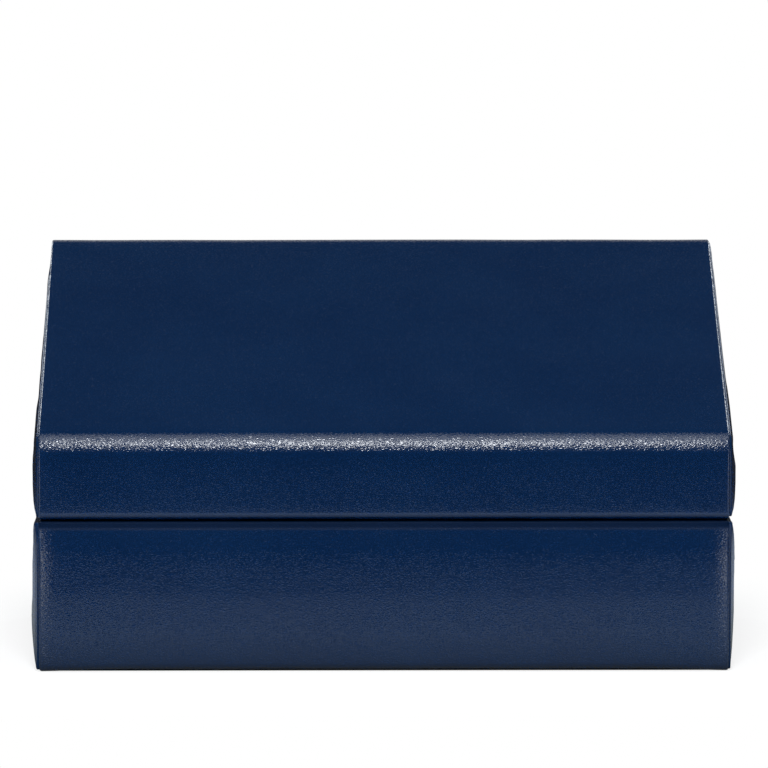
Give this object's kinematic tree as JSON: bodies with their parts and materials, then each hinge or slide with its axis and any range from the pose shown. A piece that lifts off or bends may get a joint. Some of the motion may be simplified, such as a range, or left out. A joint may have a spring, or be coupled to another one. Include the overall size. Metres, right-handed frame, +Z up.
{
  "type": "jewellery case",
  "caption": "Leather covered jewellery case with a slanted hinged lid, padded sides, mirror, necklace hooks and a lift-out tray with ring rolls and a small covered compartment.",
  "frame": {"origin": "centre of the bottom of the bounding box, on the ground", "axes": "+X along the width, +Y from front to back, +Z up"},
  "size_m": [0.288, 0.1732, 0.161],
  "materials": {
    "leather": "fine pebble grain, satin, dark navy blue",
    "suede": "soft suede cloth",
    "cover": "flat suede cloth",
    "wood": "raw fibre board",
    "metal": "polished pale brass",
    "magnet": "nickel plated",
    "mirror": "polished"
  },
  "bodies": {
    "base": {"base_floor_board": "wood", "base_front_board": "wood", "base_back_board": "wood", "base_side_board_left": "wood", "base_side_board_right": "wood", "base_front_leather": "leather", "base_back_leather": "leather", "base_side_pad_left": "leather", "base_side_pad_right": "leather", "base_edge_strips": "leather", "bottom_cover": "cover", "base_floor_pad": "suede", "base_lining": "suede", "tray_ledge_left": "suede", "tray_ledge_right": "suede", "base_divider_long": "suede", "base_divider_cross": "suede", "base_hinge_leaves": "metal", "hinge_pins": "metal", "base_hinge_screws": "metal", "base_magnets": "magnet"},
    "lid": {"lid_front_board": "wood", "lid_slant_board": "wood", "lid_back_board": "wood", "lid_side_board_left": "wood", "lid_side_board_right": "wood", "lid_wrap_leather": "leather", "lid_side_pad_left": "leather", "lid_side_pad_right": "leather", "lid_rim_strips": "leather", "lid_lining": "suede", "lid_lining_sides": "suede", "mirror_frame": "suede", "mirror_glass": "mirror", "hook_rail_left": "leather", "hook_rail_right": "leather", "necklace_hooks_left": "metal", "necklace_hooks_right": "metal", "lid_pocket": "suede", "lid_hinge_leaves": "metal", "lid_hinge_screws": "metal", "lid_magnets": "magnet"},
    "tray": {"tray_floor": "suede", "tray_wall_front": "leather", "tray_wall_back": "leather", "tray_wall_left": "leather", "tray_wall_right": "leather", "tray_divider_left": "suede", "tray_divider_right": "suede", "tray_cross_dividers": "suede", "tray_flap_rest": "suede", "tray_ring_rolls": "suede", "tray_tab_left": "leather", "tray_tab_right": "leather"},
    "flap": {"flap_board": "suede", "flap_pin": "metal", "flap_tab": "leather"}
  },
  "joints": [
    {"name": "lid_hinge", "type": "hinge", "parent": "base", "child": "lid", "pos_m": [0, 0.08447, 0.062], "axis": [-1, 0, 0], "range_deg": [0, 100]},
    {"name": "tray_lift", "type": "slide", "parent": "base", "child": "tray", "axis": [0, 0, 1], "range_m": [0, 0.027]},
    {"name": "flap_hinge", "type": "hinge", "parent": "tray", "child": "flap", "pos_m": [0.0873, 0.06832, 0.05725], "axis": [-1, 0, 0], "range_deg": [0, 90]}
  ]
}
